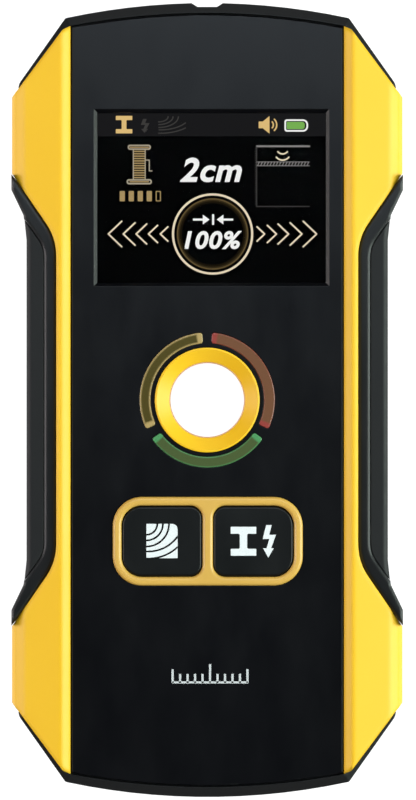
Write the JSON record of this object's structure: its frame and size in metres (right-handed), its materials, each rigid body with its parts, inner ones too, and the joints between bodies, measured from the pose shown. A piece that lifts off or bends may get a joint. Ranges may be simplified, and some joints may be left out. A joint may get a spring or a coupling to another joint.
{
  "type": "stud finder",
  "caption": "Handheld stud finder: black housing with yellow side covers, a display, a marking hole ringed by light guides, wood and metal keys, and a sliding battery door.",
  "frame": {"origin": "on the surface that the felt pads rest on, under the middle of the marking hole, which is the middle of the plan", "axes": "+Z is the face with the display, +Y runs along the length towards the display end, +X is to the right seen from the front"},
  "size_m": [0.076, 0.154, 0.0298],
  "materials": {
    "shell_black": "fine moulded texture",
    "panel_black": "satin",
    "cover_yellow": "satin",
    "trim_yellow": "satin",
    "rail_black": "satin",
    "grip_rubber": "soft matt",
    "guide_amber": "tinted, unlit",
    "guide_red": "tinted, unlit",
    "guide_green": "tinted, unlit",
    "key_black": "smooth matt",
    "switch_body": "matt",
    "switch_stem": "matt",
    "lens_clear": "polished",
    "foam_black": "foam",
    "display_dark": "polished",
    "tray_steel": "rolled",
    "flex_amber": "film",
    "connector_ivory": "matt",
    "board_green": "solder mask",
    "chip_black": "matt",
    "buzzer_black": "satin",
    "led_white": "clear cap",
    "copper": "bare copper",
    "winding_copper": "enamelled wire",
    "bobbin_white": "natural",
    "header_black": "matt",
    "cell_wrap": "printed film, plain",
    "spring_steel": "nickel plated",
    "contact_nickel": "nickel plated",
    "screw_steel": "black zinc",
    "felt_grey": "felt"
  },
  "bodies": {
    "root": {"rear_shell": "shell_black", "front_shell": "shell_black", "front_panel": "panel_black", "side_cover_left": "cover_yellow", "side_cover_right": "cover_yellow", "side_rail_left": "rail_black", "side_rail_right": "rail_black", "grip_pad_left": "grip_rubber", "grip_pad_right": "grip_rubber", "marking_sleeve": "trim_yellow", "light_guide_amber": "guide_amber", "light_guide_red": "guide_red", "light_guide_green": "guide_green", "key_frame": "trim_yellow", "wood_switch": "switch_body", "metal_switch": "switch_body", "display_lens": "lens_clear", "display_gasket": "foam_black", "display_glass": "display_dark", "display_frame": "tray_steel", "display_flex": "flex_amber", "display_connector": "connector_ivory", "main_board": "board_green", "controller_chip": "chip_black", "memory_chip": "chip_black", "buzzer": "buzzer_black", "status_leds": "led_white", "sensor_board": "board_green", "sensor_plates": "copper", "mains_antenna": "copper", "sensor_chip": "chip_black", "coil_bobbin": "bobbin_white", "coil_winding": "winding_copper", "board_link_header": "header_black", "battery_cell_1": "cell_wrap", "battery_cell_2": "cell_wrap", "battery_cell_3": "cell_wrap", "battery_springs": "spring_steel", "battery_contacts": "contact_nickel", "case_screws": "screw_steel", "board_screws": "screw_steel", "felt_pads": "felt_grey"},
    "wood_key_body": {"wood_key": "key_black", "wood_switch_stem": "switch_stem"},
    "metal_key_body": {"metal_key": "key_black", "metal_switch_stem": "switch_stem"},
    "battery_door_body": {"battery_door": "shell_black"}
  },
  "joints": [
    {"name": "wood_key_press", "type": "slide", "parent": "root", "child": "wood_key_body", "axis": [0, 0, -1], "range_m": [0, 0.0007], "stiffness_N_per_m": 600, "springref_m": -0.002},
    {"name": "metal_key_press", "type": "slide", "parent": "root", "child": "metal_key_body", "axis": [0, 0, -1], "range_m": [0, 0.0007], "stiffness_N_per_m": 600, "springref_m": -0.002},
    {"name": "battery_door_slide", "type": "slide", "parent": "root", "child": "battery_door_body", "axis": [0, -1, 0], "range_m": [0, 0.037]}
  ]
}
